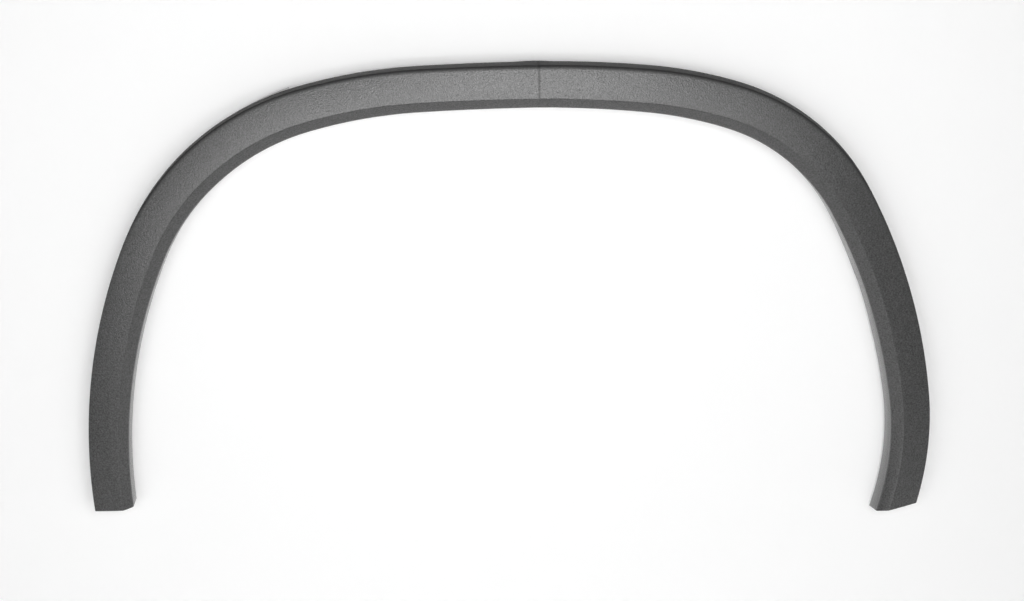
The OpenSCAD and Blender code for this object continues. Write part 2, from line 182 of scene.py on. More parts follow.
def along_stages(s, sizes):
    """Size at s from the sizes at the stages."""
    if s <= STAGES[0]:
        return sizes[0]
    for start, end, low, high in zip(STAGES, STAGES[1:], sizes, sizes[1:]):
        if s <= end:
            return low + (high - low) * (s - start) / (end - start)
    return sizes[-1]


def return_reach(s):
    """How deep the inner return goes at s, with its ears."""
    share = max((EAR_LENGTH / 2 + EAR_SLOPE - abs(s - place)) / EAR_SLOPE for place in EAR_PLACES)
    return RETURN_DEPTH + EAR_HEIGHT * min(1, max(0, share))


def rim_at(s):
    """Distance from the outline to the outer wall's rim."""
    return OUTER_LIP + along_stages(s, OUTER_LEANS)


def skeleton(s):
    """Sharp corners of the outer skin as (outwards, depth), from the outer rim to the return's rim."""
    main = along_stages(s, MAIN_WIDTHS)
    chamfer = along_stages(s, CHAMFER_WIDTHS)
    swell = CROWN_SWELL * max(0, 1 - ((s - SWELL_PLACE) / CROWN_SWELL_HALF) ** 2)
    return [Vector(corner) for corner in (
        (rim_at(s) + swell, OUTER_DEPTH),
        (OUTER_LIP, CORNER_DEPTH),
        (-main, -CREASE_RISE),
        (-main - chamfer, CHAMFER_FALL),
        (-main - chamfer - along_stages(s, RETURN_LEANS), return_reach(s)))]


def moved(start, end, distance):
    """The line through two corners moved into the wall, as a point and a direction."""
    way = (end - start).normalized()
    return start + Vector((way.y, -way.x)) * distance, way


def meet(first, second):
    """Where two lines cross, each a point and a direction."""
    (start, way), (other, other_way) = first, second
    gap = other - start
    spread = way.x * other_way.y - way.y * other_way.x
    return start + way * ((gap.x * other_way.y - gap.y * other_way.x) / spread)


def inner_corners(s, distance):
    """The skin's corners moved inwards, ending level with the rims."""
    corners = skeleton(s)
    lines = [moved(a, b, distance) for a, b in zip(corners, corners[1:])]
    level = Vector((1, 0))
    return [meet(lines[0], (corners[0], level)), meet(lines[0], lines[1]), meet(lines[1], lines[2]),
            meet(lines[2], lines[3]), meet(lines[3], (corners[4], level))]


def rounded(before, corner, after, size, steps):
    """Points of a curve that rounds a corner off, from size before it to size after it."""
    start = corner + (before - corner).normalized() * size
    end = corner + (after - corner).normalized() * size
    points = []
    for step in range(steps + 1):
        t = step / steps
        points.append(start * (1 - t) ** 2 + corner * (2 * t * (1 - t)) + end * t ** 2)
    return points


def section(s):
    """The closed outline of the wall, and how many of its points belong to the outer skin."""
    skin = skeleton(s)
    cave = inner_corners(s, WALL)
    corners = skin + cave[::-1]
    sizes = [RIM_ROUND, CORNER_ROUND, CREASE_ROUND, INNER_ROUND, RIM_ROUND,
             RIM_ROUND, CAVE_ROUND, CAVE_ROUND, CAVE_ROUND, RIM_ROUND]
    steps = [3, 10, 8, 8, 3, 3, 3, 3, 4, 3]
    # The main face and the chamfer bulge: a height and a number of points for each
    bulges = {1: (FACE_BULGE, 9), 2: (FACE_BULGE / 2, 4)}
    witness = WITNESS_DEPTH * math.exp(-(s / WITNESS_HALF) ** 2)
    points = []
    skin_points = 0
    for number, corner in enumerate(corners):
        before = corners[number - 1]
        after = corners[(number + 1) % len(corners)]
        points += rounded(before, corner, after, sizes[number], steps[number])
        if number in bulges:
            height, spots = bulges[number]
            way = (after - corner).normalized()
            for spot in range(1, spots + 1):
                t = (spot + 0.5) / (spots + 2)
                rise = height * 4 * t * (1 - t) - witness
                points.append(corner.lerp(after, t) + Vector((-way.y, way.x)) * rise)
        if number == 4:
            skin_points = len(points)
    return points, skin_points


def closed_section(s, inset):
    """The section of a foot's end wall, drawn in by inset all round."""
    points, skin_points = section(s)
    skin = points[:skin_points]
    if inset:
        drawn = []
        for number, point in enumerate(skin):
            way = (skin[min(number + 1, skin_points - 1)] - skin[max(number - 1, 0)]).normalized()
            drawn.append(point + Vector((way.y, -way.x)) * inset)
        skin = drawn
    rest = len(points) - skin_points
    shut = [skin[-1].lerp(skin[0], (number + 1) / (rest + 1)) for number in range(rest)]
    return skin + shut


def ring_at(s, points):
    """Section points of (outwards, depth) as a ring across the straight moulding at s."""
    return [(s, p.y, p.x) for p in points]


def flat_mesh(name, solids):
    """One mesh from closed solids, each a list of (along, depth, outwards) points in mm and its faces."""
    points = []
    faces = []
    for solid_points, solid_faces in solids:
        base = len(points)
        points += [(s * MM, v * MM, u * MM) for s, v, u in solid_points]
        faces += [[base + number for number in face] for face in solid_faces]
    mesh = bpy.data.meshes.new(name)
    mesh.from_pydata(points, [], faces)
    mesh.validate()
    mesh.update()
    return mesh


def ring_solid(rings):
    """A closed solid through rings of points that all have the same number of points."""
    size = len(rings[0])
    points = [point for ring in rings for point in ring]
    faces = []
    for ring in range(len(rings) - 1):
        for number in range(size):
            near = ring * size + number
            near_next = ring * size + (number + 1) % size
            faces.append([near, near_next, near_next + size, near + size])
    last = (len(rings) - 1) * size
    faces.append(list(range(size))[::-1])
    faces.append(list(range(last, last + size)))
    return points, faces


def prism(outline_points, low, high):
    """A solid between two depths, each a number or a function of (along, outwards)."""
    def at(depth, point):
        return depth(*point) if callable(depth) else depth
    rings = [[(s, at(depth, (s, u)), u) for s, u in outline_points] for depth in (low, high)]
    return ring_solid(rings)


def lathe(centre, profile, axis, steps=40):
    """A solid turned from (radius, height) points round the depth or the outward axis."""
    s, v, u = centre
    rings = []
    for radius, height in profile:
        ring = []
        for step in range(steps):
            angle = 2 * math.pi * step / steps
            across, up = radius * math.cos(angle), radius * math.sin(angle)
            ring.append((s + across, v + height, u + up) if axis == "depth" else
                        (s + across, v - up, u + height))
        rings.append(ring)
    return ring_solid(rings)


def rectangle(low_a, low_b, high_a, high_b):
    return [(low_a, low_b), (high_a, low_b), (high_a, high_b), (low_a, high_b)]


def even_stations(start, end, step):
    """Places from start to end, evenly spaced and at most a step apart."""
    count = math.ceil((end - start) / step)
    return [start + (end - start) * number / count for number in range(count + 1)]


class Value:
    """A socket's value in a node tree. Arithmetic on it adds Math nodes."""

    def __init__(self, graph, socket):
        self.graph = graph
        self.socket = socket

    def out(self, name):
        return Value(self.graph, self.socket.node.outputs[name])

    def maths(self, operation, *others):
        return self.graph.maths(operation, self, *others)

    def __add__(self, other):
        return self.graph.maths("ADD", self, other)

    def __radd__(self, other):
        return self.graph.maths("ADD", other, self)

    def __sub__(self, other):
        return self.graph.maths("SUBTRACT", self, other)

    def __rsub__(self, other):
        return self.graph.maths("SUBTRACT", other, self)

    def __mul__(self, other):
        return self.graph.maths("MULTIPLY", self, other)

    def __rmul__(self, other):
        return self.graph.maths("MULTIPLY", other, self)

    def __truediv__(self, other):
        return self.graph.maths("DIVIDE", self, other)

    def __rtruediv__(self, other):
        return self.graph.maths("DIVIDE", other, self)

    def sine(self):
        return self.graph.maths("SINE", self)

    def cosine(self):
        return self.graph.maths("COSINE", self)

    def clamped(self, low, high):
        return self.graph.maths("MINIMUM", self.graph.maths("MAXIMUM", self, low), high)


class Graph:
    """A node tree that is written as sums and calls."""

    def __init__(self, tree):
        self.tree = tree

    def node(self, kind, settings=None, inputs=None, output=0):
        made = self.tree.nodes.new(kind)
        for name, value in (settings or {}).items():
            setattr(made, name, value)
        for name, value in (inputs or {}).items():
            if isinstance(value, Value):
                self.tree.links.new(value.socket, made.inputs[name])
            else:
                made.inputs[name].default_value = value
        return Value(self, made.outputs[output] if len(made.outputs) else None)

    def maths(self, operation, *terms):
        return self.node("ShaderNodeMath", {"operation": operation}, dict(enumerate(terms)))


def geometry_graph(name, inputs):
    """A geometry tree with a geometry socket each way and the named inputs."""
    tree = bpy.data.node_groups.new(name, "GeometryNodeTree")
    tree.interface.new_socket(name="Geometry", in_out="INPUT", socket_type="NodeSocketGeometry")
    tree.interface.new_socket(name="Geometry", in_out="OUTPUT", socket_type="NodeSocketGeometry")
    for label, kind in inputs.items():
        tree.interface.new_socket(name=label, in_out="INPUT", socket_type="NodeSocket" + kind)
    graph = Graph(tree)
    return graph, graph.node("NodeGroupInput")


def finish_tree(graph, geometry):
    graph.node("NodeGroupOutput", inputs={"Geometry": geometry})
    return graph.tree


# Marks on the straight moulding, in metres from its outline. The outer wall lies past a depth or past
# a place outwards, no further in than a limit, and fades out down the legs; it carries painted shade on
# the wall where it faces up at the crown and shoulders. The inner return lies past a depth and far enough
# inwards. An onset is how fast a mark sets in.
WALL_FROM_DEPTH, WALL_FROM_OUT, WALL_INNER_LIMIT = 0.0003, 0.0013, 0.002
WALL_ONSET, CORNER_ONSET = 3000, 1000
CROWN_ONSET, CROWN_LIMIT = 3, 0.6
RETURN_FROM_DEPTH, RETURN_FROM_OUT = 0.006, 0.03
RETURN_DEPTH_ONSET, RETURN_OUT_ONSET = 400, -200


def arch_wrap_tree():
    """Bends a straight moulding, X along it, Y into the body and Z outwards, onto the arch."""
    graph, given = geometry_graph("Arch Wrap", {
        "Material": "Material", "Crown Rise": "Float", "Plan Radius": "Float", "Panel Plane": "Float",
        "Foot Slant": "Float", "Slant Length": "Float", "Curl Length": "Float", "Foot Cut": "Float",
        "Cut Line": "Float"})
    place = graph.node("ShaderNodeSeparateXYZ", inputs={0: graph.node("GeometryNodeInputPosition")})
    along, depth, outwards = place.out("X"), place.out("Y"), place.out("Z")
    across, down, turn = 0.0, 0.0, 0.0
    for arcs, side in ((CURL_ARCS, 1), (PLAIN_ARCS, -1)):
        start, heading = 0.0, 0.0
        for number, (radius_mm, degrees) in enumerate(arcs):
            radius, angle = radius_mm * MM, math.radians(degrees)
            last = number == len(arcs) - 1
            turned = ((along * side - start) / radius).clamped(0, 1 if last else angle)
            ahead = turned + heading
            across = (ahead.sine() - math.sin(heading)) * (radius * side) + across
            down = (math.cos(heading) - ahead.cosine()) * radius + down
            turn = turned * side + turn
            start += radius * angle
            heading += angle
    sideways = across + outwards * turn.sine()
    upwards = given.out("Crown Rise") - down + outwards * turn.cosine()
    fall = sideways * sideways / (given.out("Plan Radius") * 2)
    near_foot = ((along - given.out("Curl Length")) / given.out("Slant Length") + 1).clamped(0, 2)
    cut = (outwards + given.out("Cut Line")) * given.out("Foot Cut")
    run = near_foot * near_foot * (given.out("Foot Slant") * depth - cut)
    bent = graph.node("ShaderNodeCombineXYZ", inputs={
        "X": sideways + run * turn.cosine(),
        "Y": depth - given.out("Panel Plane") + fall,
        "Z": upwards - run * turn.sine()})
    # Mask of the outer wall, for its roughness and for painted shade where the wall faces up at the crown
    past_depth = (depth - WALL_FROM_DEPTH) * WALL_ONSET
    past_edge = (outwards - WALL_FROM_OUT) * WALL_ONSET
    outer_wall = past_depth.maths("MAXIMUM", past_edge).clamped(0, 1)
    outer_wall = outer_wall * ((outwards + WALL_INNER_LIMIT) * CORNER_ONSET).clamped(0, 1)
    outer_wall = outer_wall * (turn.cosine() * CROWN_ONSET - CROWN_LIMIT).clamped(0, 1)
    deep = ((depth - RETURN_FROM_DEPTH) * RETURN_DEPTH_ONSET).clamped(0, 1)
    inner_return = deep * ((outwards + RETURN_FROM_OUT) * RETURN_OUT_ONSET).clamped(0, 1)
    marked = given.out("Geometry")
    for label, value in (("outer_wall", outer_wall), ("inner_return", inner_return)):
        marked = graph.node("GeometryNodeStoreNamedAttribute",
                            {"data_type": "FLOAT", "domain": "POINT"},
                            {"Geometry": marked, "Name": label, "Value": value})
    wrapped = graph.node("GeometryNodeSetPosition", inputs={"Geometry": marked, "Position": bent})
    return finish_tree(graph, graph.node("GeometryNodeSetMaterial", inputs={
        "Geometry": wrapped, "Material": given.out("Material")}))


def seat_tree():
    """Sets one fastener on every point, turned with the arch."""
    graph, given = geometry_graph("Seated Fasteners", {"Fastener": "Object", "Material": "Material"})
    source = graph.node("GeometryNodeObjectInfo", inputs={"Object": given.out("Fastener")})
    turn = graph.node("GeometryNodeInputNamedAttribute", {"data_type": "FLOAT"}, {"Name": "turn"})
    placed = graph.node("GeometryNodeInstanceOnPoints", inputs={
        "Points": given.out("Geometry"), "Instance": source.out("Geometry"),
        "Rotation": graph.node("ShaderNodeCombineXYZ", inputs={"Y": turn})})
    solid = graph.node("GeometryNodeRealizeInstances", inputs={"Geometry": placed})
    return finish_tree(graph, graph.node("GeometryNodeSetMaterial", inputs={
        "Geometry": solid, "Material": given.out("Material")}))


def linked(name, mesh):
    made = bpy.data.objects.new(name, mesh)
    bpy.context.scene.collection.objects.link(made)
    return made


def applied(source):
    """The mesh of an object with its modifiers applied. The object goes."""
    depsgraph = bpy.context.evaluated_depsgraph_get()
    depsgraph.update()
    mesh = bpy.data.meshes.new_from_object(source.evaluated_get(depsgraph))
    bpy.data.objects.remove(source)
    return mesh


def through_tree(mesh, tree, values):
    """The mesh after a geometry tree with its named inputs set."""
    source = linked("source", mesh)
    modifier = source.modifiers.new("Tree", "NODES")
    modifier.node_group = tree
    for item in tree.interface.items_tree:
        if item.in_out == "INPUT" and item.name in values:
            modifier[item.identifier] = values[item.name]
    return applied(source)


def carved(mesh, cutter):
    """The mesh with another mesh cut out of it."""
    source = linked("source", mesh)
    tool = linked("tool", cutter)
    modifier = source.modifiers.new("Cut", "BOOLEAN")
    modifier.operation = "DIFFERENCE"
    modifier.solver = "EXACT"
    modifier.object = tool
    result = applied(source)
    bpy.data.objects.remove(tool)
    return result


def bevelled(mesh, width):
    source = linked("source", mesh)
    modifier = source.modifiers.new("Edge", "BEVEL")
    modifier.width = width * MM
    modifier.segments = 2
    modifier.limit_method = "ANGLE"
    modifier.angle_limit = math.radians(BEVEL_ANGLE)
    modifier.use_clamp_overlap = True
    return applied(source)


def smooth(mesh, degrees):
    mesh.polygons.foreach_set("use_smooth", [True] * len(mesh.polygons))
    mesh.set_sharp_from_angle(angle=math.radians(degrees))


WRAP = arch_wrap_tree()


def on_arch(name, mesh, material, nodes, degrees=32):
    """A finished piece: the straight mesh bent onto the arch."""
    bent = through_tree(mesh, WRAP, {
        "Material": material, "Crown Rise": CROWN_RISE * MM, "Plan Radius": BODY_PLAN_R * MM,
        "Panel Plane": PANEL_PLANE * MM, "Foot Slant": CURL_FOOT_SLANT, "Slant Length": SLANT_LENGTH * MM,
        "Curl Length": CURL_LENGTH * MM, "Foot Cut": CURL_FOOT_CUT, "Cut Line": FOOT_CUT_LINE * MM})
    bent.name = name
    smooth(bent, degrees)
    made = linked(name, bent)
    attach(made, "root")
    if nodes:
        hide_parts(*nodes)
    return made


def material(name, build):
    made = bpy.data.materials.new(name)
    made.use_nodes = True
    made.node_tree.nodes.clear()
    graph = Graph(made.node_tree)
    surface = build(graph)
    graph.node("ShaderNodeOutputMaterial", inputs={"Surface": surface})
    return made


def grey(graph, value):
    return graph.node("ShaderNodeCombineColor", inputs={"Red": value, "Green": value, "Blue": value})


# The plastic: scales of its patterns per metre, and what each does to the height, tone and roughness
CELL_SCALE, FINE_SCALE, COARSE_SCALE, BROAD_SCALE = 780.0, 900.0, 640.0, 9.0
FINE_HEIGHT, COARSE_HEIGHT, RETURN_FLATNESS = 0.5, 1.3, 0.7
# The wall darkness is painted shade on the outer wall where it faces up at the crown and shoulders
PLASTIC_TONE, FINE_TONE, COARSE_TONE, BROAD_TONE, WALL_PAINTED_SHADE = 0.038, 0.02, 0.12, 0.006, 0.9
PLASTIC_ROUGHNESS, BROAD_ROUGHNESS, WALL_ROUGHNESS = 0.31, 0.05, 0.6
WITNESS_ROUGHNESS, RETURN_POLISH = 0.2, 0.17
WITNESS_FADE = 600


def centred(noise):
    """A noise's value about 0 in place of a half."""
    return noise.out("Fac") - 0.5


def grained_plastic(graph):
    """Dark moulded plastic with a fine leather grain, with painted shade on the outer wall at the crown.
    """
    place = graph.node("ShaderNodeTexCoord").out("Object")
    cells = graph.node("ShaderNodeTexVoronoi", {"feature": "SMOOTH_F1"},
                       {"Vector": place, "Scale": CELL_SCALE, "Smoothness": 0.6})
    fine, broad, coarse = [
        graph.node("ShaderNodeTexNoise", inputs={"Vector": place, "Scale": scale, "Detail": detail})
        for scale, detail in ((FINE_SCALE, 3.0), (BROAD_SCALE, 2.0), (COARSE_SCALE, 1.0))]
    outer_wall, inner_return = [
        graph.node("ShaderNodeAttribute", {"attribute_name": name}).out("Fac")
        for name in ("outer_wall", "inner_return")]
    across = graph.node("ShaderNodeSeparateXYZ", inputs={0: place}).out("X")
    witness = (1 - across.maths("ABSOLUTE") * WITNESS_FADE).clamped(0, 1)
    grain = cells.out("Distance") + centred(fine) * FINE_HEIGHT + centred(coarse) * COARSE_HEIGHT
    grain = grain * (1 - inner_return * RETURN_FLATNESS)
    mottle = centred(fine) * FINE_TONE + centred(coarse) * COARSE_TONE
    tone = mottle + centred(broad) * BROAD_TONE + PLASTIC_TONE
    # Painted shade: the tone is darkened on the outer wall where it faces up at the crown and shoulders
    tone = tone * (1 - outer_wall * WALL_PAINTED_SHADE)
    roughness = centred(broad) * BROAD_ROUGHNESS + outer_wall * WALL_ROUGHNESS
    roughness = roughness + witness * WITNESS_ROUGHNESS + PLASTIC_ROUGHNESS - inner_return * RETURN_POLISH
    bump = graph.node("ShaderNodeBump", inputs={"Strength": 0.4, "Distance": 0.0003, "Height": grain})
    return graph.node("ShaderNodeBsdfPrincipled", inputs={
        "Base Color": grey(graph, tone), "Roughness": roughness, "IOR": 1.6, "Normal": bump})


def nylon(graph):
    """Milky, faintly mottled natural nylon."""
    place = graph.node("ShaderNodeTexCoord").out("Object")
    mottle = graph.node("ShaderNodeTexNoise", inputs={"Vector": place, "Scale": 260.0, "Detail": 3.0})
    tone = centred(mottle) * 0.05
    return graph.node("ShaderNodeBsdfPrincipled", inputs={
        "Base Color": graph.node("ShaderNodeCombineColor", inputs={
            "Red": tone + 0.66, "Green": tone + 0.65, "Blue": tone + 0.6}),
        "Roughness": 0.38, "Subsurface Weight": 0.1, "Subsurface Scale": 0.002})


def foam(graph):
    """Pale closed-cell foam with fine pits."""
    place = graph.node("ShaderNodeTexCoord").out("Object")
    cells = graph.node("ShaderNodeTexVoronoi", inputs={"Vector": place, "Scale": 1400.0})
    tone = cells.out("Distance") * 0.12 + 0.52
    bump = graph.node("ShaderNodeBump", inputs={
        "Strength": 0.5, "Distance": 0.0002, "Height": cells.out("Distance")})
    return graph.node("ShaderNodeBsdfPrincipled", inputs={
        "Base Color": grey(graph, tone), "Roughness": 0.9, "Normal": bump})


PLASTIC = material("grained_plastic", grained_plastic)
NYLON = material("natural_nylon", nylon)
FOAM = material("pale_foam", foam)


# The shell
def foot_rings(end, inwards):
    """Rings of a foot from its rounded edge to the inner side of its end wall, all shut."""
    made = []
    for degrees in (0, 30, 60, 90):
        angle = math.radians(degrees)
        s = end + inwards * FOOT_ROUND * (1 - math.cos(angle))
        made.append(ring_at(s, closed_section(s, FOOT_ROUND * (1 - math.sin(angle)))))
    s = end + inwards * WALL
    made.append(ring_at(s, closed_section(s, 0)))
    return made


open_from, open_to = -PLAIN_LENGTH + WALL + 1, CURL_LENGTH - WALL - 1
stations = even_stations(open_from, -WITNESS_REACH, STATION_STEP)
stations += even_stations(-WITNESS_REACH, WITNESS_REACH, WITNESS_STEP)[1:-1]
stations += even_stations(WITNESS_REACH, open_to, STATION_STEP)
rings = foot_rings(-PLAIN_LENGTH, 1)
rings += [ring_at(s, section(s)[0]) for s in stations]
rings += foot_rings(CURL_LENGTH, -1)[::-1]
shell = flat_mesh("shell", [ring_solid(rings)])


def return_line(s, v):
    """The point of the inner return's skin at a depth."""
    corners = skeleton(s)
    return corners[3].lerp(corners[4], (v - corners[3].y) / (corners[4].y - corners[3].y))


screw_spots = []
for s in EAR_PLACES:
    v = return_reach(s) - SCREW_HOLE_INSET
    screw_spots.append((s, v, return_line(s, v).x))
cutters = [lathe(spot, [(SCREW_HOLE_R, -WALL), (SCREW_HOLE_R, 2 * WALL)], "out")
           for spot in screw_spots]
notch_s = EAR_PLACES[-1] + EAR_LENGTH / 2 + EAR_SLOPE + NOTCH_WIDTH
notch_rim = skeleton(notch_s)[4]
half_notch = NOTCH_WIDTH / 2
notch = rectangle(notch_s - half_notch, notch_rim.x - NOTCH_INSIDE,
                  notch_s + half_notch, notch_rim.x + NOTCH_OUTSIDE)
cutters.append(prism(notch, notch_rim.y - NOTCH_DEPTH, notch_rim.y + NOTCH_DEPTH))
shell = carved(shell, flat_mesh("shell_cuts", cutters))
on_arch("moulding_shell", shell, PLASTIC, ["arch_moulding"])

# Cross ribs, evenly spaced between whatever else stands in the channel
stops = [(-PLAIN_LENGTH, -PLAIN_LENGTH + WALL)]
stops += [(s - TOWER_LENGTH / 2, s + TOWER_LENGTH / 2) for s in CLIP_PLACES]
stops += [(s - PIN_POST_R, s + PIN_POST_R) for s, line in PIN_PLACES]
stops += [(CURL_LENGTH - WALL, CURL_LENGTH)]
stops.sort()
rib_places = []
for (a, start), (end, b) in zip(stops, stops[1:]):
    cells = max(1, math.floor((end - start) / RIB_PITCH + 0.5))
    rib_places += [start + (end - start) * number / cells for number in range(1, cells)]


def half_wall(s, u):
    """Depth of the middle of the main face's wall."""
    corners = inner_corners(s, WALL / 2)
    crease, edge = corners[2], corners[1]
    return crease.y + (edge.y - crease.y) * (u - crease.x) / (edge.x - crease.x)


ribs = []
for s in rib_places:
    k = inner_corners(s, WALL / 2)
    top, low = OUTER_DEPTH - RIB_RELIEF, OUTER_DEPTH - RIB_DROP
    toe = rim_at(s) - TAPE_WIDTH
    rib_outline = [(k[0].x, top), k[1], k[2], k[3], k[3].lerp(k[4], RIB_HEEL_SHARE),
                   (k[3].x + RIB_HEEL, low), (toe - RIB_TOE, low), (toe, top)]
    ribs.append(ring_solid([[(s + side * RIB_THICKNESS / 2, p[1], p[0]) for p in rib_outline]
                            for side in (-1, 1)]))
on_arch("moulding_ribs", bevelled(flat_mesh("ribs", ribs), MOULDED_BEVEL), PLASTIC, [])

# Clip towers, hollow and open along the arch, with a keyhole in the seat plate
towers, hollows, keyholes = [], [], []
low_u, high_u = -TOWER_LINE - TOWER_WIDTH / 2, -TOWER_LINE + TOWER_WIDTH / 2
half = TOWER_LENGTH / 2
slot_half = SLOT_SHARE * NECK_R
hole_r = NECK_R + PLAY
slot_angle = math.asin(slot_half / hole_r)
for s in CLIP_PLACES:
    beyond = s + half + CUT_OVER
    towers.append(prism(rectangle(s - half, low_u, s + half, high_u), half_wall, SEAT_BACK))
    hollow = rectangle(s - half + TOWER_WALL, low_u + TOWER_WALL, beyond, high_u - TOWER_WALL)
    hollows.append(prism(hollow, -2 * CREASE_RISE, SEAT_BACK - SEAT_THICKNESS))
    arc = [slot_angle + (2 * math.pi - 2 * slot_angle) * number / KEYHOLE_STEPS
           for number in range(KEYHOLE_STEPS + 1)]
    keyhole = [(s + hole_r * math.cos(t), -TOWER_LINE + hole_r * math.sin(t)) for t in arc]
    keyhole = [(beyond, -TOWER_LINE - slot_half), (beyond, -TOWER_LINE + slot_half)] + keyhole
    keyholes.append(prism(keyhole, SEAT_BACK - SEAT_THICKNESS - CUT_OVER, SEAT_BACK + CUT_OVER))
tower_mesh = carved(carved(flat_mesh("towers", towers), flat_mesh("hollows", hollows)),
                    flat_mesh("keyholes", keyholes))
on_arch("moulding_clip_towers", bevelled(tower_mesh, MOULDED_BEVEL), PLASTIC, [])

# Locating pins and screw pads
pins = []
for s, line in PIN_PLACES:
    foot = half_wall(s, -line)
    tip = SEAT_GAP + PIN_LENGTH
    pins.append(lathe((s, 0, -line), [
        (PIN_POST_R, foot), (PIN_POST_R, SEAT_BACK), (PIN_R, SEAT_BACK),
        (PIN_R, SEAT_BACK + tip - PIN_R / 2), (PIN_R * PIN_TIP_SHARE, SEAT_BACK + tip)], "depth"))
pin_mesh = bevelled(flat_mesh("pins", pins), MOULDED_BEVEL)
on_arch("moulding_locating_pins", pin_mesh, PLASTIC, [])
pad_foot, pad_top = WALL / 2, WALL + SCREW_PAD_HEIGHT
pad_profile = [(SCREW_PAD_R, pad_foot), (SCREW_PAD_R, pad_top)]
bore_profile = [(SCREW_HOLE_R, pad_foot - CUT_OVER), (SCREW_HOLE_R, pad_top + CUT_OVER)]
pad_mesh = carved(flat_mesh("pads", [lathe(spot, pad_profile, "out") for spot in screw_spots]),
                  flat_mesh("bores", [lathe(spot, bore_profile, "out") for spot in screw_spots]))
on_arch("moulding_screw_pads", bevelled(pad_mesh, MOULDED_BEVEL), PLASTIC, [])

# Retaining clips, turned from the head behind the seat, past the skirt and two barbs, to the tip
tip = SEAT_GAP + SHANK
head_top = -SEAT_THICKNESS
head_back = head_top - HEAD_T
clip_profile = [
    (0.05, head_back), (HEAD_R - HEAD_CHAMFER, head_back), (HEAD_R, head_back + HEAD_CHAMFER),
    (HEAD_R, head_top), (NECK_R, head_top), (NECK_R, PLAY),
    (SKIRT_R - 1.2, PLAY + 0.5), (SKIRT_R, SEAT_GAP), (SKIRT_R - 0.7, SEAT_GAP),
    (SKIRT_R - 1.9, PLAY + 1.4), (NECK_R, PLAY + 1.2), (NECK_R, SEAT_GAP + 1),
    (BARB_R, SEAT_GAP + 4), (BARB_R, SEAT_GAP + 5), (NECK_R * 0.9, SEAT_GAP + 7.5),
    (BARB_R * 0.85, SEAT_GAP + 9), (NECK_R * 0.5, tip - 0.6), (NECK_R * 0.35, tip)]
half_split = NECK_R * SPLIT_SHARE / 2
clip_mesh = flat_mesh("clip", [lathe((0, 0, 0), clip_profile, "depth", 36)])
for wide, deep in ((half_split, 2 * BARB_R), (2 * BARB_R, half_split)):
    split = prism(rectangle(-wide, -deep, wide, deep), SEAT_GAP + 0.5, tip - 3)
    clip_mesh = carved(clip_mesh, flat_mesh("split", [split]))
clip_mesh = bevelled(clip_mesh, CLIP_BEVEL)
smooth(clip_mesh, 30)
clip_source = linked("clip_source", clip_mesh)
seats = bpy.data.meshes.new("seats")
seat_points, seat_turns = [], []
for s in CLIP_PLACES:
    x, z, heading = outline(s)
    x -= TOWER_LINE * math.sin(heading)
    z -= TOWER_LINE * math.cos(heading)
    seat_points.append((x * MM, (SEAT_BACK - PANEL_PLANE + x * x / (2 * BODY_PLAN_R)) * MM, z * MM))
    seat_turns.append(heading)
seats.from_pydata(seat_points, [], [])
seats.attributes.new("turn", "FLOAT", "POINT").data.foreach_set("value", seat_turns)
clips_mesh = through_tree(seats, seat_tree(), {"Fastener": clip_source, "Material": NYLON})
clips_mesh.name = "retaining_clips"
clips = linked("retaining_clips", clips_mesh)
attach(clips, "root")
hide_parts(*["retaining_clip_%d" % number for number in range(1, 11)])
bpy.data.objects.remove(clip_source)


# Foam tape on the outer wall's rim
def tape(name, start, end, drift, node):
    """One strip of tape, which drifts outwards towards its end."""
    rings = []
    for s in even_stations(start, end, TAPE_STEP):
        out = rim_at(s) - TAPE_INSET + drift * max(0, (s - end) / TAPE_DRIFT_LENGTH + 1) ** 1.5
        corners = [Vector(c) for c in ((out, OUTER_DEPTH), (out - TAPE_WIDTH, OUTER_DEPTH),
                                       (out - TAPE_WIDTH, PANEL_PLANE), (out, PANEL_PLANE))]
        ring = []
        for number, corner in enumerate(corners):
            ring += rounded(corners[number - 1], corner, corners[(number + 1) % 4], TAPE_ROUND, 2)
        rings.append(ring_at(s, ring[::-1]))
    return on_arch(name, flat_mesh(name, [ring_solid(rings)]), FOAM, [node], 50)


tape("foam_strip_plain_side", -PLAIN_LENGTH + TAPE_END, TAPE_JOIN_PLAIN,
     TAPE_DRIFT, "edge_tape_plain_side")
tape("foam_strip_crown", TAPE_JOIN_PLAIN + TAPE_GAP, TAPE_JOIN_CURL,
     TAPE_DRIFT / 2, "edge_tape_crown")
tape("foam_strip_curled_side", TAPE_JOIN_CURL + TAPE_GAP, CURL_LENGTH - TAPE_END,
     0, "edge_tape_curled_side")


# The white table that the part lies on, which stands behind it in this frame, and the floor below.
# The fade of the floor's glow is in metres, the other lengths are in millimetres.
TABLE_GLOW, FLOOR_GLOW = 0.22, 0.75
SKY_STRENGTH, SKY_SEEN = 0.05, 0.5
FADE_START, LEAST_GLOW = 1.6, 0.25
TABLE_BEHIND, TABLE_HALF, TABLE_STEP, TABLE_TOP = 16.5, 1200, 25, 900
FLOOR_LEVEL, FLOOR_HALF = -620, 3000


def seen_directly(graph):
    """1 for a ray from the camera, from a reflection or through glass."""
    path = graph.node("ShaderNodeLightPath")
    return path.out("Is Camera Ray").maths("MAXIMUM", path.out("Is Glossy Ray")).maths(
        "MAXIMUM", path.out("Is Transmission Ray"))


def white_surface(graph, glow_strength):
    """White that keeps shadows: a lit part and a part that is there for sight alone."""
    lit = graph.node("ShaderNodeBsdfDiffuse", inputs={"Color": (0.8, 0.8, 0.8, 1)})
    glow = graph.node("ShaderNodeEmission", inputs={
        "Color": (1, 1, 1, 1), "Strength": seen_directly(graph) * glow_strength})
    return graph.node("ShaderNodeAddShader", inputs={0: lit, 1: glow})


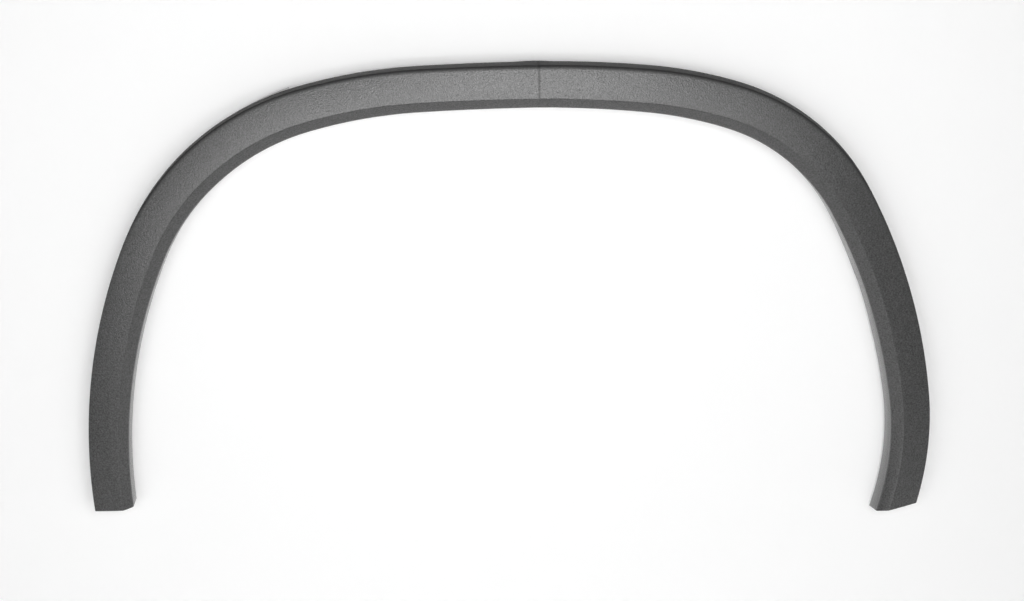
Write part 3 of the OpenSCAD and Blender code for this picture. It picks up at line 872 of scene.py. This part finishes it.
def table_surface(graph):
    """The same white, clear from behind and to the lamps behind it."""
    back = graph.node("ShaderNodeNewGeometry").out("Backfacing")
    passing = graph.node("ShaderNodeLightPath").out("Is Shadow Ray")
    return graph.node("ShaderNodeMixShader", inputs={
        0: back.maths("MAXIMUM", passing), 1: white_surface(graph, TABLE_GLOW),
        2: graph.node("ShaderNodeBsdfTransparent")})


def floor_surface(graph):
    """The same white, with a glow that fades with the distance from the part: a painted pool of light."""
    place = graph.node("ShaderNodeTexCoord").out("Object")
    away = graph.node("ShaderNodeVectorMath", {"operation": "LENGTH"}, {0: place}).out("Value")
    return white_surface(graph, (FADE_START - away).clamped(LEAST_GLOW, 1) * FLOOR_GLOW)


columns = even_stations(-TABLE_HALF, TABLE_HALF, TABLE_STEP)
table_points = []
for z in (FLOOR_LEVEL, TABLE_TOP):
    table_points += [(x, x * x / (2 * BODY_PLAN_R) + TABLE_BEHIND, z) for x in columns]
table_faces = []
for number in range(len(columns) - 1):
    table_faces.append([number, number + 1, number + 1 + len(columns), number + len(columns)])
table = linked("table", flat_mesh("table", [(table_points, table_faces)]))
table.data.materials.append(material("white_table", table_surface))
smooth(table.data, 30)
floor_points = [(x, y, FLOOR_LEVEL)
                for x, y in rectangle(-FLOOR_HALF, -FLOOR_HALF, FLOOR_HALF, FLOOR_HALF)]
floor = linked("floor", flat_mesh("floor", [(floor_points, [[0, 1, 2, 3]])]))
floor.data.materials.append(material("white_floor", floor_surface))


def softbox(name, place, aim, width, height, power):
    data = bpy.data.lights.new(name, "AREA")
    data.shape = "RECTANGLE"
    data.size = width
    data.size_y = height
    data.energy = power
    lamp = linked(name, data)
    lamp.location = place
    lamp.rotation_euler = (Vector(aim) - Vector(place)).to_track_quat("-Z", "Y").to_euler()
    return lamp


SOFTBOXES = [
    # name, place and aim in metres, width, height, watts
    ("front_centre", (0.2, -2.4, 0.5), (0, 0, -0.1), 0.9, 0.6, 18.5),
    ("front_left", (-0.85, -2.4, 0.15), (0, 0, -0.1), 0.8, 0.7, 12.0),
    ("front_right", (1.25, -2.4, 0.15), (0, 0, -0.1), 0.8, 0.7, 6.0),
    ("low_left", (-1.5, -2.2, -0.4), (0, 0, -0.25), 0.9, 0.4, 6.0),
    ("low_front", (0.1, -2.3, -0.35), (0, 0, 0), 1.4, 0.35, 10.5),
    ("soft_back", (0, 2.2, 0.2), (0, 0, -0.2), 1.8, 1.4, 22.0)]
for box in SOFTBOXES:
    softbox(*box)

world = bpy.data.worlds.new("studio")
bpy.context.scene.world = world
world.use_nodes = True
world.node_tree.nodes.clear()
sky = Graph(world.node_tree)
background = sky.node("ShaderNodeBackground", inputs={
    "Color": (1, 1, 1, 1), "Strength": seen_directly(sky) * SKY_SEEN + SKY_STRENGTH})
sky.node("ShaderNodeOutputWorld", inputs={"Surface": background})

# The camera: a little left of the middle and 15 degrees above it
CAMERA_TARGET = Vector((-0.027, -0.009, -0.2305))
CAMERA_AZIMUTH = math.radians(-4.4)
CAMERA_ELEVATION = math.radians(15)
CAMERA_DISTANCE = 2.6
CAMERA_SENSOR, CAMERA_LENS = 36, 87.05
look = Vector((-math.sin(CAMERA_AZIMUTH) * math.cos(CAMERA_ELEVATION),
               math.cos(CAMERA_AZIMUTH) * math.cos(CAMERA_ELEVATION), -math.sin(CAMERA_ELEVATION)))
camera_data = bpy.data.cameras.new("camera")
camera_data.sensor_width = CAMERA_SENSOR
camera_data.lens = CAMERA_LENS
camera = linked("camera", camera_data)
camera.location = CAMERA_TARGET - look * CAMERA_DISTANCE
camera.rotation_euler = look.to_track_quat("-Z", "Y").to_euler()
bpy.context.scene.camera = camera
bpy.context.scene.view_settings.view_transform = "Standard"
